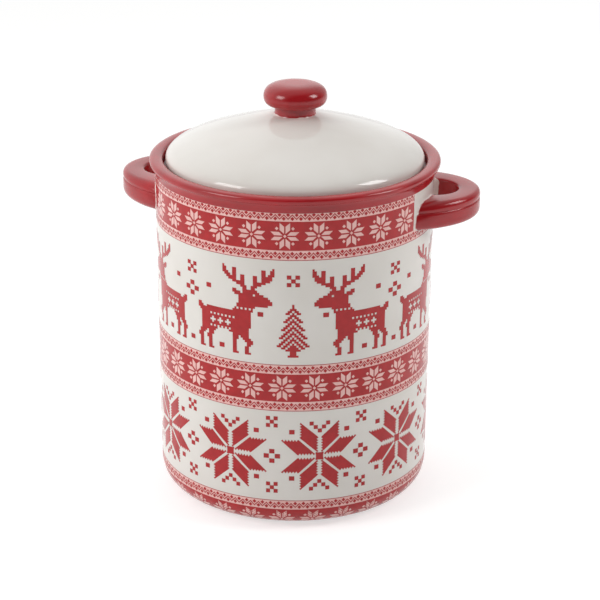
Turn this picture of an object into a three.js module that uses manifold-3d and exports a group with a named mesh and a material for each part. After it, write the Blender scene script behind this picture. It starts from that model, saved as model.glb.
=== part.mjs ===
// A glazed ceramic canister: a round pot with a rolled rim and two loop handles, and a domed lid
// with a knob. Millimetres, Z up. The pot's axis is the Z axis and its foot stands on Z = 0.
// The handles point along +X and -X, both turned a little towards +Y, and -Y is the front.
import * as THREE from "three";
import { mergeVertices } from "three/addons/utils/BufferGeometryUtils.js";
import Module from "manifold-3d";

// Pot
const bodyRadius = 70; // outside of the wall, just above the base rounding
const wallFlare = 1.1; // how much wider the wall is at its top
const wallThickness = 5;
const wallHeight = 168.8; // from the underside of the floor to the joint with the rim collar
const floorThickness = 6;
const baseRounding = 12.2; // outside edge between the wall and the underside
const insideRounding = 9; // inside edge between the wall and the floor

// Foot ring
const footHeight = 1.2;
const footWidth = 6;
const footInset = 1; // from the start of the base rounding

// Rim collar
const coveHeight = 4.8; // hollow under the roll
const coveReach = 1.7; // how far the hollow flares out from the wall
const rollReach = 1.2; // how far the roll stands out over the hollow
const rollHeight = 3.4; // from the top of the hollow to the highest line of the roll
const rollInset = 3; // from the widest to the highest line of the roll
const throatInset = 3.9; // from the outside of the wall's top to the throat round the lid
const throatRounding = 1.6; // edge between the roll and the throat
const galleryHeight = 2.7; // lid ledge above the joint with the wall
const galleryWidth = 5.2;

// Lid
const lidEdgeHeight = 4.6; // upright edge, from the seat to the start of the dome
const lidEdgeRounding = 1.5;
const domeRise = 22.2; // from the upright edge to the seat of the knob
const shoulderWidth = 16.1; // strip of the dome that rolls over into the edge
const shoulderRise = 10.8; // height of that strip
const shoulderFullness = 5.2; // how far up the edge the roll over starts to turn in
const lidThickness = 5.5;
const seatMargin = 3.7; // flat underside left inside the locating ring
const locatingDepth = 10;
const locatingThickness = 4;

// Knob
const neckRadius = 10.4;
const neckHeight = 4.3;
const neckFlare = 0.5;
const knobOverhang = 5.7; // how far the knob stands out over its neck
const knobHeight = 11.4;
const knobBulge = 4.8; // height of the widest line above the neck
const knobFlatRadius = 5.3;

// Handles
const fingerDepth = 12.1; // clear space between the wall and the inside of the loop
const loopThickness = 11.3;
const loopStretch = 1.05; // width of the loop over its depth
const handleTopDrop = 6.6; // from the collar joint down to the top of the handle
const lipHeight = 5.2; // rounded upper lip, from the top to the groove
const lowerHeight = 9; // from the groove to the underside
const grooveDepth = 0.4;
const topEdgeRounding = 3;
const lowEdgeRounding = 4.5;
const innerEdgeRounding = 1.6;
const undersideRise = 0.7; // how much higher the underside is at the tip than at the wall
const topFlare = 3.3; // how far the top of the loop spreads beside the finger gap
const lowFlare = 5.8; // how far the underside spreads there
const rootFlareDepth = 22; // distance from the wall over which the spread starts
const handleSetBack = THREE.MathUtils.degToRad(8.3); // each handle is turned this far towards +Y

// Clearances
const lidGap = 1.4; // round the lid, inside the throat
const locatingGap = 1; // round the locating ring, inside the mouth
const seatGap = 0.3; // between the lid and the gallery
const slipJoint = 0.3; // joint between a handle and the wall

// Fineness of the round shapes
const potSegments = 60;
const knobSegments = 36;
const loopSegments = 48;
const arcSteps = 4;

// Heights and radii that follow
const floorZ = footHeight;
const jointZ = floorZ + wallHeight;
const baseTopZ = floorZ + baseRounding;
const wallTopRadius = bodyRadius + wallFlare;
const insideRadius = bodyRadius - wallThickness;
const throatRadius = wallTopRadius - throatInset;
const mouthRadius = throatRadius - galleryWidth;
const lidRadius = throatRadius - lidGap;
const galleryZ = jointZ + galleryHeight;
const rollZ = jointZ + coveHeight;
const rimTopZ = rollZ + rollHeight;
const coveRadius = wallTopRadius + coveReach;
const rimRadius = coveRadius + rollReach;
const seatZ = galleryZ + seatGap;
const edgeTopZ = seatZ + lidEdgeHeight;
const crownZ = edgeTopZ + domeRise;
const neckSeatRadius = neckRadius + neckFlare;
const knobRadius = neckRadius + knobOverhang;
const locatingRadius = mouthRadius - locatingGap;
const locatingInnerRadius = locatingRadius - locatingThickness;
const handleReach = fingerDepth + loopThickness;
const handleHeight = lipHeight + lowerHeight;

const whiteGlaze = new THREE.MeshStandardMaterial({ color: 0xe9e6e1, roughness: 0.15, metalness: 0 });
const redGlaze = new THREE.MeshStandardMaterial({ color: 0xa52c30, roughness: 0.15, metalness: 0 });
const bareClay = new THREE.MeshStandardMaterial({ color: 0xe3dccf, roughness: 0.8, metalness: 0 });

const wasm = await Module();
wasm.setup();

// Turns a profile of radius and height about the Z axis.
function turned(profile, segments) {
  return new THREE.LatheGeometry(profile.getPoints(arcSteps), segments).rotateX(Math.PI / 2);
}

// Makes a closed geometry into a solid that can be cut.
function solidOf(geometry) {
  const bare = new THREE.BufferGeometry();
  bare.setAttribute("position", geometry.getAttribute("position"));
  bare.setIndex(geometry.getIndex());
  const merged = mergeVertices(bare, 1e-3);
  return new wasm.Manifold(
    new wasm.Mesh({
      numProp: 3,
      vertProperties: merged.getAttribute("position").array,
      triVerts: new Uint32Array(merged.getIndex().array),
    }),
  );
}

// Makes a solid into a geometry for a mesh.
function geometryOf(solid) {
  const { vertProperties, triVerts } = solid.getMesh();
  const geometry = new THREE.BufferGeometry();
  geometry.setAttribute("position", new THREE.BufferAttribute(vertProperties, 3));
  geometry.setIndex(new THREE.BufferAttribute(triVerts, 1));
  geometry.computeVertexNormals();
  return geometry;
}

// The pot's wall and floor, round the inside and out, open at the top.
function bodyGeometry() {
  const insideFloorZ = floorZ + floorThickness;
  const flatRadius = bodyRadius - baseRounding;
  const insideFlatRadius = insideRadius - insideRounding;
  const insideWallZ = insideFloorZ + insideRounding;
  const profile = new THREE.Path();
  profile.moveTo(0, floorZ);
  profile.lineTo(flatRadius, floorZ);
  profile.absarc(flatRadius, baseTopZ, baseRounding, -Math.PI / 2, 0, false);
  profile.lineTo(wallTopRadius, jointZ);
  profile.lineTo(wallTopRadius - wallThickness, jointZ);
  profile.absarc(insideFlatRadius, insideWallZ, insideRounding, 0, -Math.PI / 2, true);
  profile.lineTo(0, insideFloorZ);
  return turned(profile, potSegments);
}

// A ring of rectangular section between two radii and two heights.
function ringGeometry(innerRadius, outerRadius, lowZ, highZ) {
  const profile = new THREE.Path();
  profile.moveTo(innerRadius, lowZ);
  profile.lineTo(outerRadius, lowZ);
  profile.lineTo(outerRadius, highZ);
  profile.lineTo(innerRadius, highZ);
  profile.lineTo(innerRadius, lowZ);
  return turned(profile, potSegments);
}

// The rim collar: a hollow that flares from the wall, a roll, a throat round the lid
// and the gallery under it.
function collarGeometry() {
  const widestZ = (rollZ + rimTopZ) / 2;
  const crestRadius = rimRadius - rollInset;
  const throatTopZ = rimTopZ - throatRounding;
  const profile = new THREE.Path();
  profile.moveTo(mouthRadius, jointZ);
  profile.lineTo(wallTopRadius, jointZ);
  profile.quadraticCurveTo(wallTopRadius, rollZ - coveReach / 2, coveRadius, rollZ);
  profile.quadraticCurveTo(rimRadius, rollZ, rimRadius, widestZ);
  profile.quadraticCurveTo(rimRadius, rimTopZ, crestRadius, rimTopZ);
  profile.quadraticCurveTo(throatRadius, rimTopZ, throatRadius, throatTopZ);
  profile.lineTo(throatRadius, galleryZ);
  profile.lineTo(mouthRadius, galleryZ);
  profile.lineTo(mouthRadius, jointZ);
  return turned(profile, potSegments);
}

// The lid: a low dome that rolls over into an upright edge, hollow underneath, with a flat seat.
function lidGeometry() {
  const shoulderRadius = lidRadius - shoulderWidth;
  const shoulderZ = edgeTopZ + shoulderRise;
  const shoulderSlope = (shoulderRise - shoulderFullness) / shoulderWidth;
  const crownControlRadius = (shoulderRadius + neckSeatRadius) / 2;
  const crownControlZ = shoulderZ + shoulderSlope * (shoulderRadius - crownControlRadius);
  const hollowRadius = locatingInnerRadius - seatMargin;
  const hollowTopZ = crownZ - lidThickness;
  const hollowShoulderZ = shoulderZ - lidThickness;
  const profile = new THREE.Path();
  profile.moveTo(0, hollowTopZ);
  profile.quadraticCurveTo(hollowRadius, hollowShoulderZ, hollowRadius, seatZ);
  profile.lineTo(lidRadius - lidEdgeRounding, seatZ);
  profile.lineTo(lidRadius, seatZ + lidEdgeRounding);
  profile.lineTo(lidRadius, edgeTopZ);
  profile.quadraticCurveTo(lidRadius, edgeTopZ + shoulderFullness, shoulderRadius, shoulderZ);
  profile.quadraticCurveTo(crownControlRadius, crownControlZ, neckSeatRadius, crownZ);
  profile.lineTo(0, crownZ);
  return turned(profile, potSegments);
}

// The knob: a flattened ball on a short neck that flares a little where it stands on the lid.
function knobGeometry() {
  const neckTopZ = crownZ + neckHeight;
  const widestZ = neckTopZ + knobBulge;
  const topZ = neckTopZ + knobHeight;
  const profile = new THREE.Path();
  profile.moveTo(0, crownZ);
  profile.lineTo(neckSeatRadius, crownZ);
  profile.quadraticCurveTo(neckRadius, crownZ, neckRadius, crownZ + neckHeight / 2);
  profile.lineTo(neckRadius, neckTopZ);
  profile.quadraticCurveTo(knobRadius, neckTopZ, knobRadius, widestZ);
  profile.quadraticCurveTo(knobRadius, topZ, knobFlatRadius, topZ);
  profile.lineTo(0, topZ);
  return turned(profile, knobSegments);
}

// Section of a handle, as a ring round the middle of its root. Height 0 is the top of the handle.
function handleSection() {
  const grooveZ = -lipHeight;
  const grooveRadius = handleReach - grooveDepth;
  const section = new THREE.Path();
  section.moveTo(fingerDepth + innerEdgeRounding, -handleHeight);
  section.lineTo(handleReach - lowEdgeRounding, -handleHeight);
  section.quadraticCurveTo(handleReach, -handleHeight, handleReach, lowEdgeRounding - handleHeight);
  section.lineTo(grooveRadius, grooveZ);
  section.lineTo(handleReach, -topEdgeRounding);
  section.quadraticCurveTo(handleReach, 0, handleReach - topEdgeRounding, 0);
  section.lineTo(fingerDepth + innerEdgeRounding, 0);
  section.quadraticCurveTo(fingerDepth, 0, fingerDepth, -innerEdgeRounding);
  section.lineTo(fingerDepth, innerEdgeRounding - handleHeight);
  section.quadraticCurveTo(fingerDepth, -handleHeight, fingerDepth + innerEdgeRounding, -handleHeight);
  return section;
}

// A loop handle that points along +X: a ring round the middle of its root, spread where it nears
// the wall, most at its underside, which rises a little to the tip. It is cut off at the wall's
// round face.
function handleGeometry() {
  const topZ = jointZ - handleTopDrop;
  const loop = turned(handleSection(), loopSegments);
  const places = loop.getAttribute("position");
  for (let i = 0; i < places.count; i++) {
    const across = places.getX(i);
    const along = places.getY(i);
    const height = places.getZ(i);
    const outer = (Math.hypot(across, along) - fingerDepth) / (handleReach - fingerDepth);
    const depth = -height / handleHeight;
    const nearness = Math.max(1 - across / rootFlareDepth, 0);
    const flare = topFlare + (lowFlare - topFlare) * (1 - (1 - depth) ** 3);
    const spread = flare * nearness ** 2 * outer;
    const lift = undersideRise * depth ** 2 * THREE.MathUtils.clamp(across / handleReach, 0, 1);
    const sideways = loopStretch * along + Math.sign(along) * spread;
    places.setXYZ(i, wallTopRadius + across, sideways, topZ + height + lift);
  }
  const wall = new THREE.Path();
  wall.moveTo(0, baseTopZ);
  wall.lineTo(bodyRadius + slipJoint, baseTopZ);
  wall.lineTo(wallTopRadius + slipJoint, jointZ);
  wall.lineTo(0, jointZ);
  return geometryOf(solidOf(loop).subtract(solidOf(turned(wall, 2 * potSegments))));
}

function piece(name, geometry, material) {
  const mesh = new THREE.Mesh(geometry, material);
  mesh.name = name;
  return mesh;
}

const footRadius = bodyRadius - baseRounding - footInset;
const foot = ringGeometry(footRadius - footWidth, footRadius, 0, floorZ);
const locatingRing = ringGeometry(locatingInnerRadius, locatingRadius, seatZ - locatingDepth, seatZ);

const pot = new THREE.Group();
pot.add(piece("canister_body", bodyGeometry(), whiteGlaze));
pot.add(piece("foot_ring", foot, bareClay));
pot.add(piece("rim_collar", collarGeometry(), redGlaze));

const rightHandle = piece("handle_right", handleGeometry(), redGlaze);
rightHandle.rotation.z = handleSetBack;
const leftHandle = piece("handle_left", handleGeometry(), redGlaze);
leftHandle.rotation.z = Math.PI - handleSetBack;
pot.add(rightHandle, leftHandle);

const lid = new THREE.Group();
lid.add(piece("lid_shell", lidGeometry(), whiteGlaze));
lid.add(piece("lid_locating_ring", locatingRing, whiteGlaze));
lid.add(piece("lid_knob", knobGeometry(), redGlaze));

const canister = new THREE.Group();
canister.add(pot, lid);

export default canister;
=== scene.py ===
# %% [markdown]
# # A glazed ceramic canister
# A round storage pot of white earthenware with a domed lid. The wall and lid are dipped in a white glaze, the
# rim, handles and knob are painted with a red glaze, and a knitting pattern in red is printed on the wall.
# The solids of the CAD model give every size. This lesson rebuilds each of them with finer curves and real
# surfaces, and then adds the print. It needs only lathe work, one bent handle and many small flat patches.

import math

import bmesh
import bpy
from mathutils import Matrix, Vector
from mathutils.geometry import interpolate_bezier


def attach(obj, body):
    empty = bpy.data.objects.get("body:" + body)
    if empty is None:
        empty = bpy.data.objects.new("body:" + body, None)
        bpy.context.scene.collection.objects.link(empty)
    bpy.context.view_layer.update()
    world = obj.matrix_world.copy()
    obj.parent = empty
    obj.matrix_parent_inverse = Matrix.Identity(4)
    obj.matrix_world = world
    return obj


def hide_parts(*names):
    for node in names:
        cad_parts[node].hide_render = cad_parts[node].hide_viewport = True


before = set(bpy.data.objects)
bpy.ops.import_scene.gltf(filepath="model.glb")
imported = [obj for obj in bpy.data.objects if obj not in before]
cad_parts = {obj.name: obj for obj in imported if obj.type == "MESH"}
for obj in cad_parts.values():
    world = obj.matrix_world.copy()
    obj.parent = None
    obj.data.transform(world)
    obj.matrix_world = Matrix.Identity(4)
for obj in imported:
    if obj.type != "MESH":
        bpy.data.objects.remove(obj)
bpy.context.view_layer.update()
print("CAD solids:", ", ".join(sorted(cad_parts)))

# %% [markdown]
# ## Camera
# The photographer stood a metre away, a little to the right of the front, and looked down by about 21 degrees
# through a long lens. A camera in Blender looks along its own -Z, so it is first rolled, then tipped up from
# looking straight down, and then turned round the pot's axis.

# %% Camera
MM = 0.001
CAMERA_PLACE = Vector((224.2, -966.4, 477.5)) * MM
CAMERA_TURN = math.radians(12.89)
CAMERA_TIP = math.radians(69.11)
CAMERA_ROLL = math.radians(0.35)
camera_data = bpy.data.cameras.new("camera")
camera_data.sensor_width = 36
camera_data.lens = 122.04
camera = bpy.data.objects.new("camera", camera_data)
camera.matrix_world = (
    Matrix.Translation(CAMERA_PLACE)
    @ Matrix.Rotation(CAMERA_TURN, 4, "Z")
    @ Matrix.Rotation(CAMERA_TIP, 4, "X")
    @ Matrix.Rotation(CAMERA_ROLL, 4, "Z")
)
bpy.context.scene.collection.objects.link(camera)
bpy.context.scene.camera = camera
print("camera at", [round(c, 3) for c in camera.location])

# %% [markdown]
# ## Helpers for the finishes
# Every finish is a tree of shader nodes. Colours are written as the sRGB hex values that a paint chart gives,
# and turned to the linear values that Blender calculates with. One function adds a node, sets what it is told
# to set and links what it is given, so that each finish reads as a short list.

# %% Finish helpers
def linear(hex_colour):
    """An sRGB hex colour as linear red, green, blue and a full alpha."""
    parts = [int(hex_colour[i:i + 2], 16) / 255 for i in (1, 3, 5)]
    return [c / 12.92 if c <= 0.04045 else ((c + 0.055) / 1.055) ** 2.4 for c in parts] + [1.0]


def add(tree, kind, inputs=None, **settings):
    """Adds a node, with its settings, and with a value or a link for each input that is named."""
    made = tree.nodes.new(kind)
    for name, value in settings.items():
        setattr(made, name, value)
    for socket, value in (inputs or {}).items():
        if isinstance(value, bpy.types.NodeSocket):
            tree.links.new(value, made.inputs[socket])
        else:
            made.inputs[socket].default_value = value
    return made


def new_finish(name):
    """A new material with an empty tree, and its Object coordinates, which are metres in the CAD frame."""
    finish = bpy.data.materials.new(name)
    finish.use_nodes = True
    finish.node_tree.nodes.clear()
    place = add(finish.node_tree, "ShaderNodeTexCoord").outputs["Object"]
    return finish, finish.node_tree, place


def per_metre(millimetres):
    """The scale of a noise whose blotches are about this size."""
    return 1 / (millimetres * MM)


print("finish helpers ready")

# %% [markdown]
# ## White glaze
# The pot is dipped in a white glaze and fired. The glaze melts to a glass about 0.3 mm thick that is never
# quite even: it is a shade warmer where it lies thin, and its surface has long shallow ripples that bend
# reflections. Two slow noises give the shade and the ripples. Glass of this kind has an index of refraction
# near 1.5.

# %% White glaze
white_glaze, tree, place = new_finish("dipped_white_glaze")
shade = add(tree, "ShaderNodeTexNoise", {"Vector": place, "Scale": per_metre(28), "Detail": 2.0})
tint = add(tree, "ShaderNodeValToRGB", {"Fac": shade.outputs["Fac"]})
tint.color_ramp.elements[0].position = 0.3
tint.color_ramp.elements[0].color = linear("#E4DFD8")
tint.color_ramp.elements[1].position = 0.7
tint.color_ramp.elements[1].color = linear("#E9E5DF")
gloss = add(tree, "ShaderNodeMapRange", {"Value": shade.outputs["Fac"], "To Min": 0.07, "To Max": 0.11})
ripple = add(tree, "ShaderNodeTexNoise", {"Vector": place, "Scale": per_metre(9), "Detail": 1.0})
swell = add(tree, "ShaderNodeBump", {
    "Height": ripple.outputs["Fac"], "Strength": 0.25, "Distance": 0.05 * MM,
})
glass = add(tree, "ShaderNodeBsdfPrincipled", {
    "Base Color": tint.outputs["Color"], "Roughness": gloss.outputs["Result"], "IOR": 1.5,
    "Normal": swell.outputs["Normal"],
})
add(tree, "ShaderNodeOutputMaterial", {"Surface": glass.outputs["BSDF"]})
print("made", white_glaze.name)

# %% [markdown]
# ## Red glaze
# The rim, handles and knob are painted by hand with a red glaze. It runs thin on edges, where the pale clay
# shines through. Blender's Pointiness is high on edges and low in hollows. Where the painted red stops at the
# white, the brush leaves an uneven edge. Each painted piece stores on its points how far they are from that
# edge, in millimetres, as an attribute named paint, and a noise makes the edge wander.

# %% Red glaze
EDGE_WANDER = 1.4
red_glaze, tree, place = new_finish("brushed_red_glaze")
brush = add(tree, "ShaderNodeTexNoise", {"Vector": place, "Scale": per_metre(16), "Detail": 3.0})
red = add(tree, "ShaderNodeValToRGB", {"Fac": brush.outputs["Fac"]})
red.color_ramp.elements[0].position = 0.3
red.color_ramp.elements[0].color = linear("#9E1A20")
red.color_ramp.elements[1].position = 0.7
red.color_ramp.elements[1].color = linear("#B22027")
corners = add(tree, "ShaderNodeNewGeometry").outputs["Pointiness"]
thin = add(tree, "ShaderNodeMapRange", {
    "Value": corners, "From Min": 0.52, "From Max": 0.60, "To Min": 0.0, "To Max": 0.3,
})
worn = add(tree, "ShaderNodeMix", {
    "Factor": thin.outputs["Result"], "A": red.outputs["Color"], "B": linear("#C0484A"),
}, data_type="RGBA")
from_edge = add(tree, "ShaderNodeAttribute", attribute_name="paint").outputs["Fac"]
uneven = add(tree, "ShaderNodeTexNoise", {"Vector": place, "Scale": per_metre(6), "Detail": 2.0})
wander = add(tree, "ShaderNodeMath", {
    0: uneven.outputs["Fac"], 1: EDGE_WANDER, 2: from_edge,
}, operation="MULTIPLY_ADD")
painted = add(tree, "ShaderNodeMapRange", {
    "Value": wander.outputs["Value"], "From Min": 0.6, "From Max": 0.85,
})
colour = add(tree, "ShaderNodeMix", {
    "Factor": painted.outputs["Result"], "A": linear("#E9D8D2"), "B": worn.outputs["Result"],
}, data_type="RGBA")
gloss = add(tree, "ShaderNodeMapRange", {"Value": brush.outputs["Fac"], "To Min": 0.17, "To Max": 0.23})
ripple = add(tree, "ShaderNodeTexNoise", {"Vector": place, "Scale": per_metre(14), "Detail": 1.0})
swell = add(tree, "ShaderNodeBump", {
    "Height": ripple.outputs["Fac"], "Strength": 0.15, "Distance": 0.04 * MM,
})
glass = add(tree, "ShaderNodeBsdfPrincipled", {
    "Base Color": colour.outputs["Result"], "Roughness": gloss.outputs["Result"], "IOR": 1.5,
    "Normal": swell.outputs["Normal"],
})
add(tree, "ShaderNodeOutputMaterial", {"Surface": glass.outputs["BSDF"]})
print("made", red_glaze.name)

# %% [markdown]
# ## Printed red and its pale gaps
# The knitting pattern is a screen print in ceramic ink, fired into the glaze. It shines like the glaze. The ink
# film is a little uneven, and the small pale shapes inside the red take a blush from it.

# %% Print finishes
def print_finish(name, thin_colour, full_colour, grain):
    """Ceramic ink: two close colours mixed by a fine grain, under the gloss of the glaze."""
    finish, tree, place = new_finish(name)
    film = add(tree, "ShaderNodeTexNoise", {"Vector": place, "Scale": per_metre(grain), "Detail": 3.0})
    ink = add(tree, "ShaderNodeValToRGB", {"Fac": film.outputs["Fac"]})
    ink.color_ramp.elements[0].position = 0.35
    ink.color_ramp.elements[0].color = linear(full_colour)
    ink.color_ramp.elements[1].position = 0.7
    ink.color_ramp.elements[1].color = linear(thin_colour)
    gloss = add(tree, "ShaderNodeMapRange", {"Value": film.outputs["Fac"], "To Min": 0.07, "To Max": 0.13})
    glass = add(tree, "ShaderNodeBsdfPrincipled", {
        "Base Color": ink.outputs["Color"], "Roughness": gloss.outputs["Result"], "IOR": 1.42,
    })
    add(tree, "ShaderNodeOutputMaterial", {"Surface": glass.outputs["BSDF"]})
    print("made", name)
    return finish


red_print = print_finish("screen_printed_red", "#BA1B20", "#AD151A", 4)
pale_print = print_finish("screen_printed_pale", "#F6C9C3", "#F0BDB7", 6)

# %% [markdown]
# ## Bare clay
# The foot is wiped clean of glaze so that it doesn't stick to the kiln shelf. Bare earthenware is matt and a
# little sandy, with grains of about half a millimetre.

# %% Bare clay
bare_clay, tree, place = new_finish("wiped_bare_earthenware")
grit = add(tree, "ShaderNodeTexNoise", {"Vector": place, "Scale": per_metre(0.6), "Detail": 3.0})
earth = add(tree, "ShaderNodeValToRGB", {"Fac": grit.outputs["Fac"]})
earth.color_ramp.elements[0].position = 0.3
earth.color_ramp.elements[0].color = linear("#C9BEAE")
earth.color_ramp.elements[1].position = 0.7
earth.color_ramp.elements[1].color = linear("#E2DACC")
sand = add(tree, "ShaderNodeBump", {"Height": grit.outputs["Fac"], "Strength": 0.6, "Distance": 0.1 * MM})
matt = add(tree, "ShaderNodeBsdfPrincipled", {
    "Base Color": earth.outputs["Color"], "Roughness": 0.85, "IOR": 1.5, "Normal": sand.outputs["Normal"],
})
add(tree, "ShaderNodeOutputMaterial", {"Surface": matt.outputs["BSDF"]})
print("made", bare_clay.name)

# %% [markdown]
# ## Helpers for turned pieces
# Pots are turned on a wheel, and so are these meshes: a profile in radius and height is drawn as a thin wire
# and spun once round the axis. A Bezier bend rounds the profile where clay would be rounded by a sponge. Its
# handles reach 0.5523 of the way to the corner for a quarter circle, and two thirds of the way for a softer bend.

# %% Turning helpers
QUARTER_CIRCLE = 0.5523
SOFT = 2 / 3
POT_STEPS = 192
WELD = 0.001


def bend(start, corner, end, reach=SOFT, steps=10):
    """Points of a smooth bend from start to end, which both look at the corner. The start is left out."""
    a, c, b = (Vector((radius, 0, height)) for radius, height in (start, corner, end))
    path = interpolate_bezier(a, a.lerp(c, reach), b.lerp(c, reach), b, steps + 1)
    return [(p.x, p.z) for p in path[1:]]


def turned(profile, steps=POT_STEPS, closed=False):
    """A mesh of the profile, in radius and height, spun once round the Z axis."""
    bm = bmesh.new()
    verts = [bm.verts.new((radius, 0, height)) for radius, height in profile]
    following = verts[1:] + verts[:1] if closed else verts[1:]
    edges = [bm.edges.new(pair) for pair in zip(verts, following)]
    bmesh.ops.spin(
        bm, geom=verts + edges, cent=(0, 0, 0), axis=(0, 0, 1), angle=2 * math.pi, steps=steps,
        use_merge=True,
    )
    bmesh.ops.remove_doubles(bm, verts=bm.verts, dist=WELD)
    bmesh.ops.recalc_face_normals(bm, faces=bm.faces)
    return bm


print("turning helpers ready, one turn has", POT_STEPS, "steps")

# %% [markdown]
# ## Helpers for finished pieces
# Meshes are worked in millimetres, because clay is measured so, and scaled to metres at the end. A painted piece
# first stores its distances from the painted edge. A finished piece keeps its place in its mesh, so its object
# sits at the origin, and it moves with the CAD body that it belongs to.

# %% Piece helpers
def paint(bm, from_edge):
    """Stores on each point how far it is from the painted edge, in millimetres, as from_edge tells it."""
    layer = bm.verts.layers.float.new("paint")
    for v in bm.verts:
        v[layer] = from_edge(v.co)


def settle(bm, name, finishes, body, nodes=(), sharp=35):
    """Makes a mesh in millimetres a finished piece on a CAD body, for the CAD nodes that it stands for."""
    bmesh.ops.scale(bm, vec=(MM, MM, MM), verts=bm.verts)
    mesh = bpy.data.meshes.new(name)
    bm.to_mesh(mesh)
    bm.free()
    mesh.shade_smooth()
    mesh.set_sharp_from_angle(angle=math.radians(sharp))
    for finish in finishes:
        mesh.materials.append(finish)
    piece = bpy.data.objects.new(name, mesh)
    bpy.context.scene.collection.objects.link(piece)
    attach(piece, body)
    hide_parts(*nodes)
    print(name, "has", len(mesh.polygons), "faces")
    return piece


print("piece helpers ready")

# %% [markdown]
# ## Pot
# The wall widens by a millimetre from the rounded base to the top. A cylinder with bevelled edges would do, but
# turning one profile gives the outside, the inside and both roundings at once. Extra points near the ends of the
# wall and on the floor keep their shading flat.

# %% Pot
BODY_RADIUS = 70.0
WALL_TOP_RADIUS = 71.1
WALL = 5.0
UNDERSIDE = 1.2
FLOOR = 7.2
JOINT = 170.0
BASE_ROUNDING = 12.2
INSIDE_ROUNDING = 9.0
BASE_TOP = UNDERSIDE + BASE_ROUNDING
WALL_EXTRA = 2
FLOOR_EXTRA = 30


def wall_radius(height):
    """The outside of the wall at a height above the base rounding."""
    return BODY_RADIUS + (WALL_TOP_RADIUS - BODY_RADIUS) * (height - BASE_TOP) / (JOINT - BASE_TOP)


inside = BODY_RADIUS - WALL
inside_top = FLOOR + INSIDE_ROUNDING
profile = [(0, UNDERSIDE), (FLOOR_EXTRA, UNDERSIDE), (BODY_RADIUS - BASE_ROUNDING, UNDERSIDE)]
profile += bend(profile[-1], (BODY_RADIUS, UNDERSIDE), (BODY_RADIUS, BASE_TOP), QUARTER_CIRCLE, steps=16)
for height in (BASE_TOP + WALL_EXTRA, JOINT - WALL_EXTRA, JOINT):
    profile.append((wall_radius(height), height))
for height in (JOINT, JOINT - WALL_EXTRA, inside_top + WALL_EXTRA):
    profile.append((wall_radius(height) - WALL, height))
profile += [(inside, inside_top)]
profile += bend(profile[-1], (inside, FLOOR), (inside - INSIDE_ROUNDING, FLOOR), QUARTER_CIRCLE, steps=10)
profile += [(FLOOR_EXTRA, FLOOR), (0, FLOOR)]
settle(turned(profile), "pot_wall", [white_glaze], "pot", ["canister_body"])

# %% [markdown]
# ## Foot
# The pot stands on a low bare ring. Its two lower edges are softened, as a wet sponge leaves them.

# %% Foot
FOOT_OUTER = 56.8
FOOT_INNER = 50.8
FOOT_EDGE = 0.5
profile = [(FOOT_INNER, UNDERSIDE), (FOOT_INNER, FOOT_EDGE)]
profile += bend(profile[-1], (FOOT_INNER, 0), (FOOT_INNER + FOOT_EDGE, 0), QUARTER_CIRCLE, steps=4)
profile += [(FOOT_OUTER - FOOT_EDGE, 0)]
profile += bend(profile[-1], (FOOT_OUTER, 0), (FOOT_OUTER, FOOT_EDGE), QUARTER_CIRCLE, steps=4)
profile += [(FOOT_OUTER, UNDERSIDE)]
settle(turned(profile, closed=True), "foot_ring_bare", [bare_clay], "pot", ["foot_ring"])

# %% [markdown]
# ## Rim
# The rim flares out from the wall in a hollow and ends in a fat roll. Inside the roll, a throat drops to the
# ledge that carries the lid. The crease between the hollow and the roll is sharp, so the two are separate bends.
# The red laps a little over the joint with the wall.

# %% Rim
HOLLOW_CORNER = (WALL_TOP_RADIUS, 173.95)
ROLL_FOOT = (72.8, 174.8)
ROLL_WIDEST = (74.0, 176.5)
ROLL_TOP = (71.0, 178.2)
THROAT = (67.2, 176.6)
LEDGE = 172.7
LEDGE_FILLET = 1.0
MOUTH = 62.0
RIM_LAP = 0.6
profile = [(MOUTH, JOINT), (WALL_TOP_RADIUS, JOINT)]
profile += bend(profile[-1], HOLLOW_CORNER, ROLL_FOOT)
profile += bend(ROLL_FOOT, (ROLL_WIDEST[0], ROLL_FOOT[1]), ROLL_WIDEST, steps=8)
profile += bend(ROLL_WIDEST, (ROLL_WIDEST[0], ROLL_TOP[1]), ROLL_TOP)
profile += bend(ROLL_TOP, (THROAT[0], ROLL_TOP[1]), THROAT, steps=8)
profile += [(THROAT[0], LEDGE + LEDGE_FILLET)]
profile += bend(profile[-1], (THROAT[0], LEDGE), (THROAT[0] - LEDGE_FILLET, LEDGE), QUARTER_CIRCLE, steps=4)
profile += [(MOUTH, LEDGE)]
bm = turned(profile, closed=True)
paint(bm, lambda spot: spot.z - JOINT + RIM_LAP)
settle(bm, "rim_rolled", [red_glaze], "pot", ["rim_collar"])

# %% [markdown]
# ## Handles
# Each handle is a short thick loop with a flat top and a shallow crease round its outside. A curve with a bevel
# would give a loop of one even section, but this one changes from its tip to its roots. So its section is drawn
# once, and later spun half a turn round the middle of its root, so that both ends look at the wall.

# %% Handle section
FINGER_DEPTH = 12.1
LOOP_REACH = 23.38
HANDLE_TOP = 163.4
HANDLE_HEIGHT = 14.2
BELLY_TOP = -6.2
CREASE_DEPTH = 0.45
CREASE = -4.8
CREASE_DROP = 0.2
CREASE_RISE = 0.9
CREASE_LIP = 0.1
TOP_EDGE = 3.0
LOW_EDGE = 4.5
INNER_EDGE = 1.6
section = [(LOOP_REACH - LOW_EDGE, -HANDLE_HEIGHT)]
section += bend(section[-1], (LOOP_REACH, -HANDLE_HEIGHT), (LOOP_REACH, LOW_EDGE - HANDLE_HEIGHT), steps=8)
section += [(LOOP_REACH, BELLY_TOP)]
section += bend(section[-1], (LOOP_REACH, CREASE - CREASE_DROP), (LOOP_REACH - CREASE_DEPTH, CREASE), steps=5)
section += bend(section[-1], (LOOP_REACH - CREASE_LIP, CREASE + CREASE_RISE), (LOOP_REACH, -TOP_EDGE), steps=4)
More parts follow.
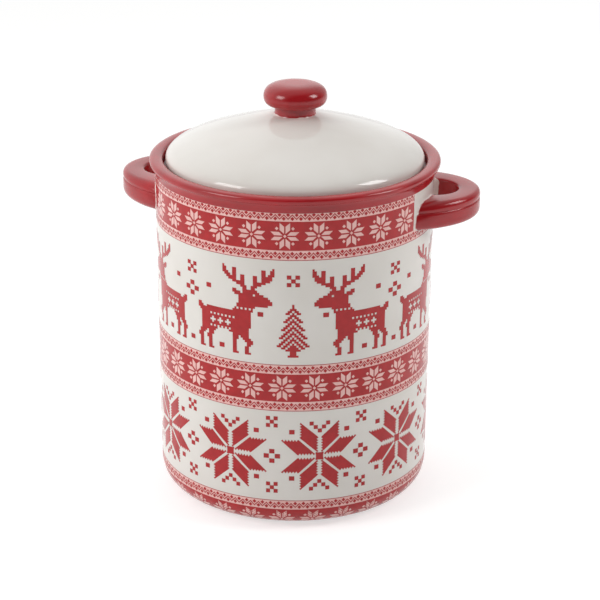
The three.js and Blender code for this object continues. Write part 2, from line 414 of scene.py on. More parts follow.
section += bend(section[-1], (LOOP_REACH, 0), (LOOP_REACH - TOP_EDGE, 0), steps=8)
section += [(FINGER_DEPTH + INNER_EDGE, 0)]
section += bend(section[-1], (FINGER_DEPTH, 0), (FINGER_DEPTH, -INNER_EDGE), QUARTER_CIRCLE, steps=4)
section += [(FINGER_DEPTH, INNER_EDGE - HANDLE_HEIGHT)]
section += bend(
    section[-1], (FINGER_DEPTH, -HANDLE_HEIGHT), (FINGER_DEPTH + INNER_EDGE, -HANDLE_HEIGHT), QUARTER_CIRCLE,
    steps=4,
)
print("handle section has", len(section), "points")

# %% [markdown]
# ### Loop
# The spun loop is stretched a little along the wall, spread where it nears the wall and raised at the tip of its
# underside. The red paint starts a little off the wall, and further off inside the loop, where a brush hardly
# reaches.

# %% Loop shape
LOOP_STRETCH = 1.05
TOP_SPREAD = 3.3
LOW_SPREAD = 5.8
SPREAD_DEPTH = 22.0
UNDERSIDE_RISE = 0.7
ROOT_BARE = 0.3
INSIDE_BARE = 2.8
INSIDE_DEPTH = 2.5


def shaped(place):
    """Where a point of the spun loop goes: stretched, spread at the root and raised under the tip."""
    outer = (math.hypot(place.x, place.y) - FINGER_DEPTH) / (LOOP_REACH - FINGER_DEPTH)
    depth = -place.z / HANDLE_HEIGHT
    nearness = max(1 - place.x / SPREAD_DEPTH, 0)
    widening = TOP_SPREAD + (LOW_SPREAD - TOP_SPREAD) * (1 - (1 - depth) ** 3)
    spread = math.copysign(widening * nearness ** 2 * outer, place.y)
    rise = UNDERSIDE_RISE * depth ** 2 * min(max(place.x / LOOP_REACH, 0), 1)
    return Vector((WALL_TOP_RADIUS + place.x, LOOP_STRETCH * place.y + spread, HANDLE_TOP + place.z + rise))


def handle_paint(spot):
    """How far a point of a handle is from the start of the red."""
    off_wall = math.hypot(spot.x, spot.y) - wall_radius(spot.z)
    off_root = math.hypot(spot.x - WALL_TOP_RADIUS, spot.y / LOOP_STRETCH) - FINGER_DEPTH
    inside = min(max(1 - off_root / INSIDE_DEPTH, 0), 1)
    return off_wall - ROOT_BARE - INSIDE_BARE * inside


print("loop reaches", LOOP_REACH, "mm off the wall")

# %% [markdown]
# ### Roots
# Each open end of the loop is carried on along its circle until it is close to the wall. Then it is extruded to
# the wall in small steps that flare out round a quarter circle, like the slip that a potter smooths into the
# joint. The last step goes a little into the wall, so that no gap is left.

# %% Handle roots
SLIP_FILLET = 1.1
FILLET_STEPS = 6
ROOT_STEPS = 6
ROOT_SUNK = 0.4
APPROACHES = 12


def near_wall(radius, side, height):
    """How far across a point on the loop's circle has come when it is a fillet's width from the wall."""
    across = 0.0
    for _ in range(APPROACHES):
        along = side * math.sqrt(radius ** 2 - across ** 2)
        spot = shaped(Vector((across, along, height)))
        across = math.sqrt(wall_radius(spot.z) ** 2 - spot.y ** 2) + SLIP_FILLET - WALL_TOP_RADIUS
    return across


def lengthen(bm, ring):
    """Carries an open end of the loop on along its circle until it is close to the wall."""
    for step in range(1, ROOT_STEPS + 1):
        made = bmesh.ops.extrude_edge_only(bm, edges=ring)["geom"]
        ring = [part for part in made if isinstance(part, bmesh.types.BMEdge)]
        for v in {v for edge in ring for v in edge.verts}:
            radius = math.hypot(v.co.x, v.co.y)
            side = math.copysign(1, v.co.y)
            v.co.x = near_wall(radius, side, v.co.z) * step / ROOT_STEPS
            v.co.y = side * math.sqrt(radius ** 2 - v.co.x ** 2)
    return ring


def join_to_wall(bm, ring):
    """Flares an open end of the loop out to the wall, round a small fillet."""
    verts = {v for edge in ring for v in edge.verts}
    middle = sum((v.co for v in verts), Vector()) / len(verts)
    flared = 0
    for step in range(1, FILLET_STEPS + 1):
        turn = math.radians(90) * step / FILLET_STEPS
        made = bmesh.ops.extrude_edge_only(bm, edges=ring)["geom"]
        ring = [part for part in made if isinstance(part, bmesh.types.BMEdge)]
        flare = SLIP_FILLET * (1 - math.cos(turn))
        gap = SLIP_FILLET * (1 - math.sin(turn)) if step < FILLET_STEPS else -ROOT_SUNK
        for v in {v for edge in ring for v in edge.verts}:
            out = Vector((0, v.co.y - middle.y, v.co.z - middle.z)).normalized()
            v.co += out * (flare - flared)
            v.co.x = math.sqrt(wall_radius(v.co.z) ** 2 - v.co.y ** 2) + gap
        flared = flare


print("root fillet is", SLIP_FILLET, "mm")

# %% [markdown]
# ### Both handles
# The same loop is made twice and turned to the two sides of the pot. Both are set back a little from the middle.

# %% Handles
LOOP_STEPS = 56
SET_BACK = math.radians(8.3)


def handle(name, turn, node):
    """One loop handle, turned round the pot's axis from +X."""
    bm = bmesh.new()
    verts = [bm.verts.new((0, -across, height)) for across, height in section]
    first = [bm.edges.new(pair) for pair in zip(verts, verts[1:] + verts[:1])]
    spun = bmesh.ops.spin(
        bm, geom=verts + first, cent=(0, 0, 0), axis=(0, 0, 1), angle=math.pi, steps=LOOP_STEPS,
    )
    last = [part for part in spun["geom_last"] if isinstance(part, bmesh.types.BMEdge)]
    roots = [lengthen(bm, first), lengthen(bm, last)]
    for v in bm.verts:
        v.co = shaped(v.co)
    for root in roots:
        join_to_wall(bm, root)
    paint(bm, handle_paint)
    bmesh.ops.rotate(bm, cent=(0, 0, 0), matrix=Matrix.Rotation(turn, 3, "Z"), verts=bm.verts)
    bmesh.ops.recalc_face_normals(bm, faces=bm.faces)
    settle(bm, name, [red_glaze], "pot", [node], sharp=50)


handle("handle_right_loop", SET_BACK, "handle_right")
handle("handle_left_loop", math.pi - SET_BACK, "handle_left")

# %% [markdown]
# ## Lid
# The lid is a low dome that rolls over into an upright edge. Underneath it is hollow, with a flat seat that rests
# on the ledge. It is turned like the pot, from the hollow round the edge to the crown under the knob.

# %% Lid
LID_RADIUS = 65.8
SEAT = 173.0
EDGE_TOP = 177.6
SHOULDER = (49.7, 188.4)
CROWN = (10.9, 199.8)
SHOULDER_FULLNESS = 5.2
DOME_CORNER = (30.3, 195.15)
HOLLOW_RADIUS = 53.3
HOLLOW_TOP = 194.3
HOLLOW_BEND = 182.9
INNER_LIP = 0.8
OUTER_LIP = 1.5
profile = [(0, HOLLOW_TOP)]
profile += bend(profile[-1], (HOLLOW_RADIUS, HOLLOW_BEND), (HOLLOW_RADIUS, SEAT + INNER_LIP), steps=16)
profile += bend(profile[-1], (HOLLOW_RADIUS, SEAT), (HOLLOW_RADIUS + INNER_LIP, SEAT), QUARTER_CIRCLE, steps=4)
profile += [(LID_RADIUS - OUTER_LIP, SEAT)]
profile += bend(profile[-1], (LID_RADIUS, SEAT), (LID_RADIUS, SEAT + OUTER_LIP), QUARTER_CIRCLE, steps=5)
profile += [(LID_RADIUS, EDGE_TOP)]
profile += bend(profile[-1], (LID_RADIUS, EDGE_TOP + SHOULDER_FULLNESS), SHOULDER, steps=16)
profile += bend(SHOULDER, DOME_CORNER, CROWN, steps=16)
profile += [(0, CROWN[1])]
settle(turned(profile), "lid_dome", [white_glaze], "lid", ["lid_shell"])

# %% [markdown]
# ### Locating ring
# A ring under the lid drops into the mouth and keeps the lid from sliding off. Its two lower edges are rounded,
# so that it finds its way in.

# %% Locating ring
RING_OUTER = 61.0
RING_INNER = 57.0
RING_BOTTOM = 163.0
RING_EDGE = 1.0
profile = [(RING_INNER, SEAT), (RING_INNER, RING_BOTTOM + RING_EDGE)]
profile += bend(
    profile[-1], (RING_INNER, RING_BOTTOM), (RING_INNER + RING_EDGE, RING_BOTTOM), QUARTER_CIRCLE, steps=4,
)
profile += [(RING_OUTER - RING_EDGE, RING_BOTTOM)]
profile += bend(
    profile[-1], (RING_OUTER, RING_BOTTOM), (RING_OUTER, RING_BOTTOM + RING_EDGE), QUARTER_CIRCLE, steps=4,
)
profile += [(RING_OUTER, SEAT)]
settle(turned(profile, closed=True), "lid_ring", [white_glaze], "lid", ["lid_locating_ring"])

# %% [markdown]
# ## Knob
# The knob is a flattened ball on a short neck. It is painted red down to the neck's foot, where the brush leaves
# a thin pale line. The paint's distances are shortened there, so that the edge fades softly.

# %% Knob
NECK_RADIUS = 10.4
NECK_TOP = 204.1
KNOB_WIDEST = (16.1, 208.9)
KNOB_TOP = (5.3, 215.5)
NECK_FILLET = 2.15
KNOB_STEPS = 96
KNOB_BARE = 0.2
KNOB_FADE = 0.6
profile = [(0, CROWN[1]), CROWN]
profile += bend(CROWN, (NECK_RADIUS, CROWN[1]), (NECK_RADIUS, CROWN[1] + NECK_FILLET), steps=5)
profile += [(NECK_RADIUS, NECK_TOP)]
profile += bend(profile[-1], (KNOB_WIDEST[0], NECK_TOP), KNOB_WIDEST, steps=12)
profile += bend(KNOB_WIDEST, (KNOB_WIDEST[0], KNOB_TOP[1]), KNOB_TOP, steps=12)
profile += [(0, KNOB_TOP[1])]
bm = turned(profile, KNOB_STEPS)
paint(bm, lambda spot: KNOB_FADE * (spot.z - CROWN[1] - KNOB_BARE))
settle(bm, "knob", [red_glaze], "lid", ["lid_knob"])

# %% [markdown]
# ## The print, drawn flat
# The pattern is drawn flat, as on a transfer sheet: x runs once round the wall, z is the height, and y is how far
# a patch of ink stands out. Nearly everything in a knitting pattern is a parallelogram, so one function makes
# them: a grid whose sides are two given directions. Patches lie in two layers, a ground and the motifs on it.

# %% Print helpers
RED = 0
PALE = 1
GROUND = 0.03
MOTIF = 0.07
SUNK = -0.1
ONCE_ROUND = 2 * math.pi * BODY_RADIUS
STRIP_CELLS = 240
STRIP_ROW = 1.5


def patch(bm, corner, along, up, ink, layer=MOTIF, cells=(1, 1)):
    """A parallelogram of ink from its first corner, with its two sides, each as (x, z) in millimetres."""
    middle = [corner[i] + (along[i] + up[i]) / 2 for i in (0, 1)]
    sides = Matrix((
        (along[0], up[0], 0, middle[0]),
        (0, 0, -1, layer),
        (along[1], up[1], 0, middle[1]),
        (0, 0, 0, 1),
    ))
    grid = bmesh.ops.create_grid(bm, x_segments=cells[0], y_segments=cells[1], size=0.5, matrix=sides)
    verts = grid["verts"]
    for face in {f for v in verts for f in v.link_faces}:
        face.material_index = ink
    return verts


def square(bm, middle, size, ink):
    """An upright square of ink round its middle."""
    return patch(bm, (middle[0] - size[0] / 2, middle[1] - size[1] / 2), (size[0], 0), (0, size[1]), ink)


def diamond(bm, middle, half, ink):
    """A square of ink on its tip, round its middle."""
    return patch(bm, (middle[0] - half, middle[1]), (half, -half), (half, half), ink)


def repeat(bm, verts, pitch, count):
    """Copies what these vertices belong to along the sheet, until there are count of them."""
    edges = {e for v in verts for e in v.link_edges}
    faces = {f for v in verts for f in v.link_faces}
    bmesh.ops.spin(
        bm, geom=[*verts, *edges, *faces], cent=(0, 0, 0), axis=(0, 0, 1), dvec=(pitch, 0, 0), angle=0,
        steps=count - 1, use_duplicate=True,
    )


def strip(bm, low, high, ink, layer=GROUND):
    """A band of ink that runs once round the wall."""
    rows = max(1, round((high - low) / STRIP_ROW))
    patch(bm, (0, low), (ONCE_ROUND, 0), (0, high - low), ink, layer, cells=(STRIP_CELLS, rows))


print("one round of the print is", round(ONCE_ROUND, 1), "mm")

# %% [markdown]
# ## Wrapping the print on the pot
# Each point of the drawing is moved from the sheet to the wall. Below the straight wall the sheet follows the
# rounding of the base, so heights there are lengths along the curve. A sheet can be gathered a little at its
# middle, so that its motifs stand closer together there than at the back.

# %% Wrapping
SHEET_MIDDLE = math.radians(12.9)


def wrapped(flat, gathered):
    """A point of the flat sheet on the pot. The sheet is gathered by a small share at its middle."""
    around = flat.x / BODY_RADIUS
    around -= gathered * math.sin(around - SHEET_MIDDLE)
    height = max(flat.z, BASE_TOP)
    under = (height - flat.z) / BASE_ROUNDING
    reach = BASE_ROUNDING + flat.y
    radius = wall_radius(height) - BASE_ROUNDING + reach * math.cos(under)
    height -= reach * math.sin(under)
    return Vector((radius * math.sin(around), -radius * math.cos(around), height))


def wall_normal(place):
    """Which way the pot's surface looks at a point on it, in metres."""
    around = Vector((place.x, place.y, 0)).normalized()
    under = min(0, place.z / MM - BASE_TOP)
    reach = math.hypot(place.x, place.y) / MM - (BODY_RADIUS - BASE_ROUNDING)
    return (around * reach + Vector((0, 0, under))).normalized()


print("the sheet's middle is", round(math.degrees(SHEET_MIDDLE), 1), "degrees from the front")

# %% [markdown]
# ## Firing the print
# A flat patch gets a back that is pressed a little into the glaze, so that it is a closed chip. After the wrap the
# two ends of a band meet in a seam, which is welded. The chips take the wall's own normals, so they shine as part
# of it.

# %% Firing
SEAM = 0.001
SEAM_WELD = 0.0005


def face_out(bm, fronts):
    """Turns over the chips whose fronts look into the wall, with all the faces that belong to them."""
    bm.normal_update()
    waiting = [f for f in fronts if f.normal.dot(wall_normal(f.calc_center_median() * MM)) < 0]
    turned_in = set(waiting)
    while waiting:
        for edge in waiting.pop().edges:
            near = [f for f in edge.link_faces if f not in turned_in]
            turned_in.update(near)
            waiting += near
    bmesh.ops.reverse_faces(bm, faces=list(turned_in))


def fire(bm, name, gathered=0.0):
    """Backs, wraps and settles a flat drawing as one piece of the print."""
    fronts = bm.faces[:]
    made = bmesh.ops.extrude_face_region(bm, geom=fronts)["geom"]
    for v in made:
        if isinstance(v, bmesh.types.BMVert):
            v.co.y = SUNK
    seam = [v for v in bm.verts if abs(v.co.x) < SEAM or abs(v.co.x - ONCE_ROUND) < SEAM]
    for v in bm.verts:
        v.co = wrapped(v.co, gathered)
    bmesh.ops.recalc_face_normals(bm, faces=bm.faces)
    face_out(bm, fronts)
    bmesh.ops.remove_doubles(bm, verts=seam, dist=SEAM_WELD)
    piece = settle(bm, name, [red_print, pale_print], "pot")
    normals = [wall_normal(v.co) for v in piece.data.vertices]
    piece.data.normals_split_custom_set_from_vertices(normals)


print("print goes", -SUNK, "mm into the glaze")

# %% [markdown]
# ## Star bands
# Three bands of small eight-petalled stars go round the pot, an old motif of Nordic mittens. Each petal is a
# parallelogram with one side along an axis and one along a diagonal. A star has four upright and four lying
# petals, a small diamond in the middle and four dots. It is drawn on one side and flipped to the other three.

# %% Small star
SIDES = [(1, 1), (-1, 1), (1, -1), (-1, -1)]
STAR_HEART = 0.85
UPRIGHT_FROM = (0.36, 1.25)
UPRIGHT_SLANT = (2.25, 1.85)
UPRIGHT_LENGTH = 3.6
LYING_FROM = (1.15, 0.38)
LYING_SLANT = (1.8, 1.75)
LYING_LENGTH = 4.15
STAR_DOT = (4.05, 3.85)
DOT_HALF = 0.88


def flipped(pair, side, up):
    """An (x, z) pair on one of the four sides of a star."""
    return side * pair[0], up * pair[1]


def beside(middle, pair):
    """The place that is an (x, z) pair away from a middle."""
    return middle[0] + pair[0], middle[1] + pair[1]


def small_star(bm, middle):
    """A pale star with eight petals."""
    verts = diamond(bm, middle, STAR_HEART, PALE)
    for side, up in SIDES:
        corner = beside(middle, flipped(UPRIGHT_FROM, side, up))
        slant = flipped(UPRIGHT_SLANT, side, up)
        verts += patch(bm, corner, slant, (0, up * UPRIGHT_LENGTH), PALE, cells=(2, 2))
        corner = beside(middle, flipped(LYING_FROM, side, up))
        slant = flipped(LYING_SLANT, side, up)
        verts += patch(bm, corner, (side * LYING_LENGTH, 0), slant, PALE, cells=(3, 2))
        verts += diamond(bm, beside(middle, flipped(STAR_DOT, side, up)), DOT_HALF, PALE)
    return verts


print("small star is", 2 * (UPRIGHT_FROM[1] + UPRIGHT_SLANT[1] + UPRIGHT_LENGTH), "mm high")

# %% [markdown]
# Above and below each band runs a lace edge: a zigzag with a small diamond in every bay, and a fine line that ends
# it. The lace is short and regular, so one period is drawn and repeated.

# %% Lace and band
LACE_COUNT = 104
LACE_HEIGHT = 4.9
LACE_LOW = 1.26
LACE_PEAK = 3.4
LACE_DIP = 0.2
LACE_DIAMOND = 1.05
LACE_STROKE = 0.72
FINE_LINE = 0.3
STAR_FIELD = 14.8


def lace(bm, edge, up):
    """A lace edge that starts at the height of the red field's edge and goes up or down from it."""
    pitch = ONCE_ROUND / LACE_COUNT
    line = edge + up * LACE_HEIGHT
    strip(bm, min(edge, line), max(edge, line), PALE)
    low, peak = edge + up * LACE_LOW, edge + up * LACE_PEAK
    half = LACE_STROKE / 2
    verts = patch(bm, (0, low - half), (pitch / 2, peak - low), (0, LACE_STROKE), RED)
    verts += patch(bm, (pitch / 2, peak - half), (pitch / 2, low - peak), (0, LACE_STROKE), RED)
    verts += diamond(bm, (0, peak), LACE_DIAMOND, RED)
    verts += diamond(bm, (pitch / 2, low + up * LACE_DIP), LACE_DIAMOND, RED)
    repeat(bm, verts, pitch, LACE_COUNT)
    strip(bm, line - FINE_LINE / 2, line + FINE_LINE / 2, RED, MOTIF)


def star_band(bm, middle, count, first):
    """A red field with a round of small stars, the first of them at an angle from the front."""
    strip(bm, middle - STAR_FIELD / 2, middle + STAR_FIELD / 2, RED)
    verts = small_star(bm, (math.radians(first) * BODY_RADIUS, middle))
    repeat(bm, verts, ONCE_ROUND / count, count)
    lace(bm, middle + STAR_FIELD / 2, 1)
    lace(bm, middle - STAR_FIELD / 2, -1)


print("lace has a period of", round(ONCE_ROUND / LACE_COUNT, 2), "mm")

# %% [markdown]
# ## Top band
# The top band stops short of the handles: the sheet is cut upright on both sides of each root, and the piece
# between the cuts is left away above the lower lace. What would stand above the joint is cut off under the rim.

# %% Top band
TOP_BAND = 158.55
TOP_STARS = 26
TOP_FIRST = 9.09
TOP_GATHERED = 0.045
CUT_AWAY = math.radians(27.2)
CUT_SNAP = 0.0001
UNDER_RIM = 0.05
bm = bmesh.new()
star_band(bm, TOP_BAND, TOP_STARS, TOP_FIRST)
cut_floor = TOP_BAND - STAR_FIELD / 2
for turn in (math.pi / 2 + SET_BACK, 1.5 * math.pi - SET_BACK):
    for side in (-1, 1):
        upper = [f for f in bm.faces if f.calc_center_median().z > cut_floor]
        parts = {*upper, *(e for f in upper for e in f.edges), *(v for f in upper for v in f.verts)}
        bmesh.ops.bisect_plane(
            bm, geom=list(parts), plane_co=((turn + side * CUT_AWAY) * BODY_RADIUS, 0, 0), plane_no=(1, 0, 0),
            dist=CUT_SNAP,
        )
    gone = []
    for f in bm.faces:
        spot = f.calc_center_median()
        if spot.z > cut_floor and abs(spot.x / BODY_RADIUS - turn) < CUT_AWAY:
            gone.append(f)
    bmesh.ops.delete(bm, geom=gone, context="FACES")
whole = bm.verts[:] + bm.edges[:] + bm.faces[:]
bmesh.ops.bisect_plane(
    bm, geom=whole, plane_co=(0, 0, JOINT - UNDER_RIM), plane_no=(0, 0, 1), clear_outer=True,
)
fire(bm, "print_top_stars", TOP_GATHERED)

# %% [markdown]
# ## Middle and foot bands
# The other two bands go all the way round. The foot band runs over the rounding of the base.

# %% Middle and foot bands
MIDDLE_BAND = 79.05
MIDDLE_FIRST = 8.18
MIDDLE_GATHERED = 0.02
FOOT_BAND = 4.85
FOOT_FIRST = 8.12
FOOT_GATHERED = 0.014
LOW_STARS = 27
for name, height, first, gathered in (
    ("print_middle_stars", MIDDLE_BAND, MIDDLE_FIRST, MIDDLE_GATHERED),
    ("print_foot_stars", FOOT_BAND, FOOT_FIRST, FOOT_GATHERED),
):
    bm = bmesh.new()
    star_band(bm, height, LOW_STARS, first)
    fire(bm, name, gathered)

# %% [markdown]
# ## Big stars
# Nine large stars fill the lower wall. Their petals have the saw edge that knitting gives to a line, so each
# petal is one outline whose points step in and out along its two long sides. A chevron of small squares stands
# above and below each star.

# %% Big star
SMALL_SQUARE = (2.2, 2.1)
SQUARE = (2.85, 2.4)
TOOTH = 0.55
TEETH = 12
STAR_CENTRE = (3.9, 3.9)
CENTRE_NOTCH = (1.65, 1.65)
NOTCH_SQUARE = (1.0, 1.0)
TALL_FROM = (1.25, 2.2)
TALL_SLANT = (9.0, 7.65)
TALL_LENGTH = 8.7
WIDE_FROM = (2.4, 1.2)
WIDE_SLANT = (8.4, 7.55)
WIDE_LENGTH = 9.8
CORNER_FILL = (14.9, 12.8)
FILL_RISE = 0.7
CHEVRON_TIP = 14.0
CHEVRON_STEP = (2.22, 2.0)


def saw_petal(bm, corner, along, up):
    """A petal with a saw edge on its two sides along up."""
    corner, along, up = Vector(corner), Vector(along), Vector(up)
    outward = (along.project(up) - along).normalized() * TOOTH
    teeth = [0] + [1 if step % 2 else -1 for step in range(1, TEETH)] + [0]
    near = [corner + up * step / TEETH + outward * tooth for step, tooth in enumerate(teeth)]
    far = [corner + along + up * step / TEETH - outward * tooth for step, tooth in enumerate(teeth)]
    outline = [bm.verts.new((spot.x, MOTIF, spot.y)) for spot in near + far[::-1]]
    bm.faces.new(outline).material_index = RED


def big_star(bm, middle):
    """A red star with eight saw-edged petals, and the squares that belong to it."""
    x, z = middle
    square(bm, middle, STAR_CENTRE, RED)
    for side, up in SIDES:
        square(bm, beside(middle, flipped(CENTRE_NOTCH, side, up)), NOTCH_SQUARE, RED)
        corner = beside(middle, flipped(TALL_FROM, side, up))
        saw_petal(bm, corner, flipped(TALL_SLANT, side, up), (0, up * TALL_LENGTH))
        corner = beside(middle, flipped(WIDE_FROM, side, up))
        saw_petal(bm, corner, flipped(WIDE_SLANT, side, up), (side * WIDE_LENGTH, 0))
        square(bm, (x + side * CORNER_FILL[0], z + up * CORNER_FILL[1] + FILL_RISE), SQUARE, RED)
        for step in (1, 2):
            across = side * CHEVRON_STEP[0] * step
            rise = up * (CHEVRON_TIP + CHEVRON_STEP[1] * step)
            square(bm, (x + across, z + rise), SMALL_SQUARE, RED)
    for up in (1, -1):
        square(bm, (x, z + up * CHEVRON_TIP), SMALL_SQUARE, RED)


print("big star is", 2 * (TALL_FROM[1] + TALL_SLANT[1] + TALL_LENGTH), "mm high")

# %% [markdown]
# Small squares fill the gaps between the stars: a ring of four in the middle and a cross of five above and below
# it. One star and its fills are drawn and cut upright into narrow strips, so that they bend round the wall
# smoothly, and then repeated.

# %% Row of big stars
STAR_ROW = 41.8
BIG_STARS = 9
BIG_FIRST = math.radians(24.47)
BIG_GATHERED = 0.063
FILL_SHIFT = -1.1
CROSS_RISE = 18.1
CROSS_STEP = (2.05, 1.95)
RING_STEP = (3.0, 2.62)
CUTS = 24
LEFT_SHARE = 0.42


def cross_of_five(bm, middle):
    """Five squares, corner to corner, like the five on a die."""
    verts = square(bm, middle, SMALL_SQUARE, RED)
    for side, up in SIDES:
        verts += square(bm, beside(middle, flipped(CROSS_STEP, side, up)), SMALL_SQUARE, RED)
    return verts


def ring_of_four(bm, middle):
    """Four squares round an open one."""
    verts = []
    for side in (1, -1):
        verts += square(bm, (middle[0] + side * RING_STEP[0], middle[1]), SQUARE, RED)
        verts += square(bm, (middle[0], middle[1] + side * RING_STEP[1]), SQUARE, RED)
    return verts


bm = bmesh.new()
pitch = ONCE_ROUND / BIG_STARS
start = BIG_FIRST * BODY_RADIUS
big_star(bm, (start, STAR_ROW))
gap = start + pitch / 2 + FILL_SHIFT
ring_of_four(bm, (gap, STAR_ROW))
for up in (1, -1):
    cross_of_five(bm, (gap, STAR_ROW + up * CROSS_RISE + FILL_RISE))
for cut in range(1, CUTS):
    whole = bm.verts[:] + bm.edges[:] + bm.faces[:]
    across = start + pitch * (cut / CUTS - LEFT_SHARE)
    bmesh.ops.bisect_plane(bm, geom=whole, plane_co=(across, 0, 0), plane_no=(1, 0, 0), dist=CUT_SNAP)
repeat(bm, bm.verts[:], pitch, BIG_STARS)
fire(bm, "print_big_stars", BIG_GATHERED)

# %% [markdown]
# ## Deer and fir frieze
# The upper wall has a frieze as in a knitted border: pairs of deer on either side of a fir. Knitters draw such
# figures on squared paper, and so do these charts: each mark is one stitch.

# %% Charts
DEER = """
...............#.......................#
...............##...##............##..##
...............##...##............##..##
...............###..##............##.###
................###.##..##....##..#####.
.................#####..##....##..#####.
..................####..##....##..####..
....................######....######....
......................####....####......
........................###..###........
.........................##..##.........
....................##...#######........
....................####.########.......
.....................#########.####.....
.......................##############...
.......................###############..
.......................################.
.......................################.
......................###############...
......................#########.........
.....................#.#.#.#.#..........
.##.................##########..........
.###..#######################...........
.############################...........
..###########################...........
...#####.#.#.#.#.#.#.########...........
...##########################...........
...######.###.###.###########...........
...#####...#...#...##########...........
...######.###.###.###########...........
...#########################............
...#####.#.#.#.#.#.#########............
...#########......##########............
...########.........########............
..####.###..........###.####............
..###..###..........###..####...........
.###..###...........##....####..........
.###..###...........##.....###..........
..##...##...........##.....##...........
..##...##...........##....##............
..##...##...........##....##............
..##...##...........##....##............
..###..###..........###...###...........
"""
FIR = """
.......#.......
.......#.......
......###......
.....##.##.....
....##.#.##....
......###......
.....##.##.....
....##.#.##....
...##.###.##...
.....##.##.....
....##.#.##....
...##.###.##...
..##.##.##.##..
....##.#.##....
...##.###.##...
..##.##.##.##..
.##.##.#.##.##.
...##.###.##...
..##.##.##.##..
.##.##.#.##.##.
##.##.###.##.##
..##.#####.##..
....#######....
......###......
......###......
.....#####.....
"""
for title, chart in (("deer", DEER), ("fir", FIR)):
    print(title, "chart has", len(chart.split()), "rows")

# %% [markdown]
# A chart becomes a grid with one face for each stitch, and the faces of the blank stitches are deleted. Stitches
# that meet only at a corner are parted there, so that every group is a closed chip.

# %% Knitting
PAIRS = 4
STITCHES = 103
STITCH = (ONCE_ROUND / PAIRS / STITCHES, 1.07)


def knitted(bm, chart, left, bottom, mirrored=False):
    """A chart as patches of ink: left is in stitches from the start of the sheet, bottom is a height."""
    rows = [row[::-1] if mirrored else row for row in chart.split()]
    across, down = len(rows[0]), len(rows)
    corner = (left * STITCH[0], bottom)
    verts = patch(bm, corner, (across * STITCH[0], 0), (0, down * STITCH[1]), RED, cells=(across, down))
    blank = []
    for face in {f for v in verts for f in v.link_faces}:
        spot = face.calc_center_median()
        column = int((spot.x - corner[0]) / STITCH[0])
        row = down - 1 - int((spot.z - corner[1]) / STITCH[1])
        if rows[row][column] == ".":
            blank.append(face)
    bmesh.ops.delete(bm, geom=blank, context="FACES")
    kept = [v for v in verts if v.is_valid]
    for v in kept[:]:
        if len(v.link_faces) == 2 and len(v.link_edges) == 4:
            kept += [part for part in bmesh.utils.vert_separate(v, v.link_edges) if part is not v]
    return kept


print("a stitch is", round(STITCH[0], 2), "mm wide and", STITCH[1], "mm high")

# %% [markdown]
# One repeat of the frieze is a deer, a fir and the same deer mirrored. Crosses, a ring and single squares fill
# the gaps over the fir and behind the deer. Charts are placed by their first stitch, the fills by millimetres.

# %% Frieze
FRIEZE_FOOT = 95.5
DEER_AT = -34
FIR_AT = DEER_AT + 41
MIRRORED_AT = DEER_AT + 57
CROSS_HEIGHT = 40
RING_HEIGHT = 29
GROUND_HEIGHT = 3
fir_middle = (DEER_AT + 48.5) * STITCH[0]
back = (DEER_AT - 3) * STITCH[0]
single_squares = [(fir_middle, 16, 22), (back, 11, 33), (fir_middle, 36.5, GROUND_HEIGHT)]
bm = bmesh.new()
verts = knitted(bm, DEER, DEER_AT, FRIEZE_FOOT)
verts += knitted(bm, FIR, FIR_AT, FRIEZE_FOOT)
verts += knitted(bm, DEER, MIRRORED_AT, FRIEZE_FOOT, mirrored=True)
verts += cross_of_five(bm, (fir_middle, FRIEZE_FOOT + CROSS_HEIGHT))
verts += cross_of_five(bm, (back, FRIEZE_FOOT + CROSS_HEIGHT))
verts += ring_of_four(bm, (back, FRIEZE_FOOT + RING_HEIGHT))
for side in (1, -1):
    for centre, across, height in single_squares:
        verts += square(bm, (centre + side * across, FRIEZE_FOOT + height), SQUARE, RED)
verts += square(bm, (back, FRIEZE_FOOT + GROUND_HEIGHT), SQUARE, RED)
repeat(bm, verts, ONCE_ROUND / PAIRS, PAIRS)
fire(bm, "print_deer_frieze")

# %% [markdown]
# ## Studio
# The pot stands on a white table in a white studio. To the camera and in reflections the table glows, so that it
# is plain white, but it keeps a share of its real light, so the pot's shadow stays on it.

# %% Table
TABLE_RADIUS = 8
TABLE_GLOW = 1.58
GLOW_SHARE = 0.4
table_mesh = bpy.data.meshes.new("table")
bm = bmesh.new()
bmesh.ops.create_circle(bm, cap_ends=True, segments=96, radius=TABLE_RADIUS)
bm.to_mesh(table_mesh)
bm.free()
table = bpy.data.objects.new("table", table_mesh)
bpy.context.scene.collection.objects.link(table)
white_table, tree, _ = new_finish("white_studio_table")
paper = add(tree, "ShaderNodeBsdfDiffuse", {"Color": linear("#F4F4F3")})
light = add(tree, "ShaderNodeEmission", {"Color": linear("#FFFFFF"), "Strength": TABLE_GLOW})
ray = add(tree, "ShaderNodeLightPath")
seen = add(tree, "ShaderNodeMath", {
    0: ray.outputs["Is Camera Ray"], 1: ray.outputs["Is Glossy Ray"],
}, operation="MAXIMUM")
seen = add(tree, "ShaderNodeMath", {
    0: seen.outputs["Value"], 1: ray.outputs["Is Transmission Ray"],
}, operation="MAXIMUM")
share = add(tree, "ShaderNodeMath", {0: seen.outputs["Value"], 1: GLOW_SHARE}, operation="MULTIPLY")
look = add(tree, "ShaderNodeMixShader", {
    0: share.outputs["Value"], 1: paper.outputs["BSDF"], 2: light.outputs["Emission"],
})
add(tree, "ShaderNodeOutputMaterial", {"Surface": look.outputs["Shader"]})
table_mesh.materials.append(white_table)
print("table is", table.dimensions.x, "m across")

# %% [markdown]
# The walls of the studio are white too. They are brighter behind the pot and to its left, where a window would
# be, and dimmer on the camera's side.

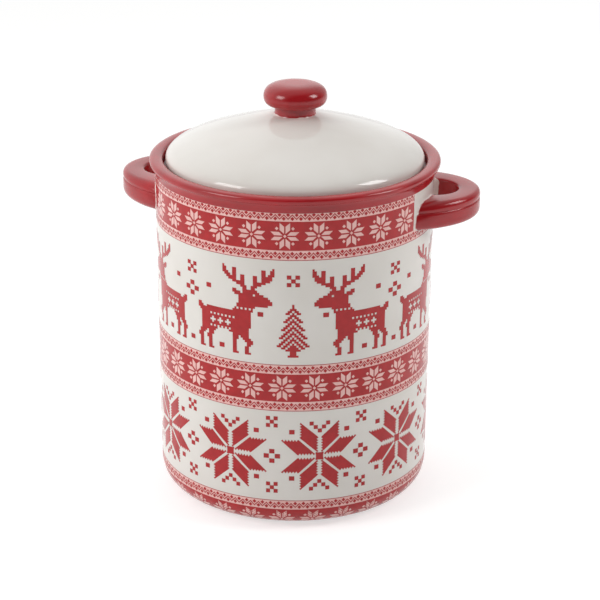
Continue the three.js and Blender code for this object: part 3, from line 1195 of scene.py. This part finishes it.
# %% Surroundings
BRIGHT_SIDE = Vector((-0.75, 0.65, 0.1)).normalized()
world = bpy.data.worlds.new("studio")
bpy.context.scene.world = world
world.use_nodes = True
tree = world.node_tree
tree.nodes.clear()
direction = add(tree, "ShaderNodeTexCoord").outputs["Generated"]
towards = add(tree, "ShaderNodeVectorMath", {0: direction, 1: BRIGHT_SIDE}, operation="DOT_PRODUCT")
side = add(tree, "ShaderNodeMapRange", {"Value": towards.outputs["Value"], "From Min": -1.0, "From Max": 1.0})
level = add(tree, "ShaderNodeValToRGB", {"Fac": side.outputs["Result"]})
level.color_ramp.elements[0].position = 0.3
level.color_ramp.elements[0].color = linear("#262626")
level.color_ramp.elements[1].position = 0.86
level.color_ramp.elements[1].color = linear("#FFFFFF")
level.color_ramp.elements.new(0.55).color = linear("#C4C4C4")
level.color_ramp.elements.new(0.76).color = linear("#CECECE")
walls = add(tree, "ShaderNodeBackground", {"Color": level.outputs["Color"], "Strength": 1.2})
add(tree, "ShaderNodeOutputWorld", {"Surface": walls.outputs["Background"]})
print("studio walls are brightest towards", [round(c, 2) for c in BRIGHT_SIDE])

# %% [markdown]
# Two softboxes add the highlights on the glaze: one in front on the left, and one high on the right.

# %% Softboxes
POT_MIDDLE = Vector((0, 0, 0.12))


def softbox(name, place, size, watts):
    """A rectangular lamp at a place, in metres, that looks at the middle of the pot."""
    lamp = bpy.data.lights.new(name, "AREA")
    lamp.shape = "RECTANGLE"
    lamp.size, lamp.size_y = size
    lamp.energy = watts
    box = bpy.data.objects.new(name, lamp)
    box.location = place
    box.rotation_euler = (POT_MIDDLE - box.location).to_track_quat("-Z", "Y").to_euler()
    bpy.context.scene.collection.objects.link(box)
    print(name, "gives", watts, "W")


softbox("left_softbox", (-0.9, -0.8, 0.83), (0.6, 0.6), 7.4)
softbox("right_softbox", (1.21, 0.06, 0.95), (0.5, 0.65), 9.0)

# %% [markdown]
# ## Finish
# The view transform is set to Standard, so colours render about as they are written.

# %% Finish
bpy.context.scene.view_settings.view_transform = "Standard"
